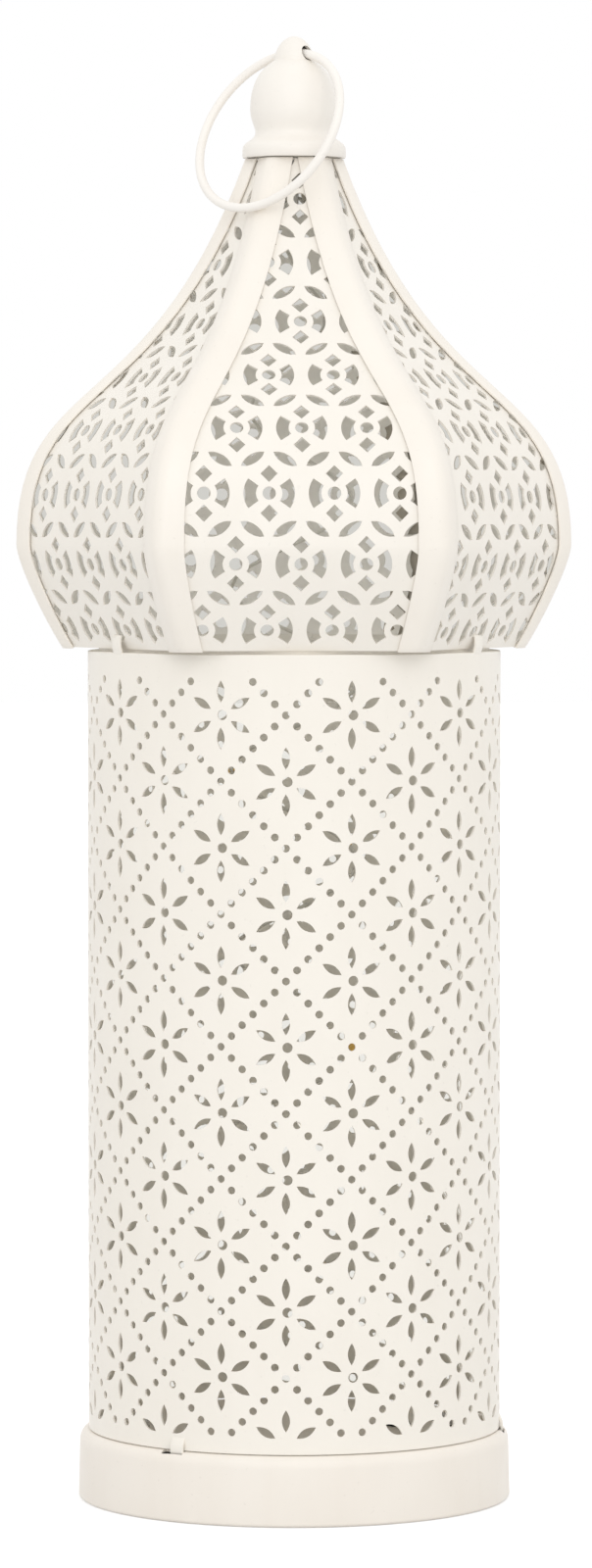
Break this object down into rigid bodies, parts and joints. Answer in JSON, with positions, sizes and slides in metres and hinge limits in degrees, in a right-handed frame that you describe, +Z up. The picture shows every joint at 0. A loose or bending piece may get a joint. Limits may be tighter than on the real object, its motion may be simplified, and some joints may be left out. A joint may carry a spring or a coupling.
{
  "type": "led lantern",
  "caption": "Tall cylindrical lantern of pierced painted sheet steel with an onion dome, a finial with a hanging ring, and a battery light string inside.",
  "frame": {"origin": "centre of the base, on the surface that the lantern stands on", "axes": "+Z up along the lantern's axis, -Y out of the front dome panel, +X to the right seen from the front"},
  "size_m": [0.15, 0.13, 0.3934],
  "materials": {
    "base_paint": "cream paint, satin",
    "body_paint": "cream paint, satin",
    "panel_paint": "cream paint, satin",
    "rib_paint": "cream paint, satin",
    "finial_paint": "cream paint, satin",
    "ring_paint": "cream paint, satin",
    "crown_steel": "thin cream overspray on steel",
    "hook_steel": "drawn steel wire",
    "clear_lead": "clear sleeve over tinned wire",
    "amber_bead": "clear amber resin",
    "black_rubber": "matte",
    "white_plastic": "fine moulded grain",
    "cell_sleeve": "plain shrink sleeve over the can",
    "contact_nickel": "nickel plate",
    "green_board": "solder mask",
    "switch_steel": "pressed tinplate",
    "black_plastic": "moulded",
    "screw_zinc": "zinc plate"
  },
  "bodies": {
    "lantern": {"base_pan": "base_paint", "body_shell": "body_paint", "dome_panel_1": "panel_paint", "dome_panel_2": "panel_paint", "dome_panel_3": "panel_paint", "dome_panel_4": "panel_paint", "dome_panel_5": "panel_paint", "dome_panel_6": "panel_paint", "dome_rib_1": "rib_paint", "dome_rib_2": "rib_paint", "dome_rib_3": "rib_paint", "dome_rib_4": "rib_paint", "dome_rib_5": "rib_paint", "dome_rib_6": "rib_paint", "crown_disc": "crown_steel", "finial": "finial_paint", "light_hook": "hook_steel", "hook_nut": "screw_zinc", "hook_washer": "screw_zinc", "light_lead": "clear_lead", "light_bead_1": "amber_bead", "light_bead_2": "amber_bead", "light_bead_3": "amber_bead", "light_bead_4": "amber_bead", "light_bead_5": "amber_bead", "light_bead_6": "amber_bead", "light_bead_7": "amber_bead", "light_bead_8": "amber_bead", "light_bead_9": "amber_bead", "light_bead_10": "amber_bead", "lead_grommet": "black_rubber", "battery_box": "white_plastic", "box_screw_1": "screw_zinc", "box_screw_2": "screw_zinc", "box_nut_1": "screw_zinc", "box_nut_2": "screw_zinc", "cell_1": "cell_sleeve", "cell_2": "cell_sleeve", "cell_3": "cell_sleeve", "contact_spring_1": "contact_nickel", "contact_spring_2": "contact_nickel", "contact_spring_3": "contact_nickel", "contact_plate_1": "contact_nickel", "contact_plate_2": "contact_nickel", "contact_plate_3": "contact_nickel", "switch_cover": "white_plastic", "cover_screw_1": "screw_zinc", "cover_screw_2": "screw_zinc", "circuit_board": "green_board", "switch_body": "switch_steel"},
    "ring": {"hang_ring": "ring_paint"},
    "slider": {"switch_slider": "black_plastic"},
    "door": {"battery_door": "white_plastic"}
  },
  "joints": [
    {"name": "ring_swing", "type": "hinge", "parent": "lantern", "child": "ring", "pos_m": [0, 0, 0.3884], "axis": [-0.7278, 0.6858, 0], "range_deg": [0, 308]},
    {"name": "switch_slide", "type": "slide", "parent": "lantern", "child": "slider", "axis": [0, 1, 0], "range_m": [0, 0.002]},
    {"name": "door_pull", "type": "slide", "parent": "lantern", "child": "door", "axis": [0, 0, -1], "range_m": [0, 0.03]}
  ]
}
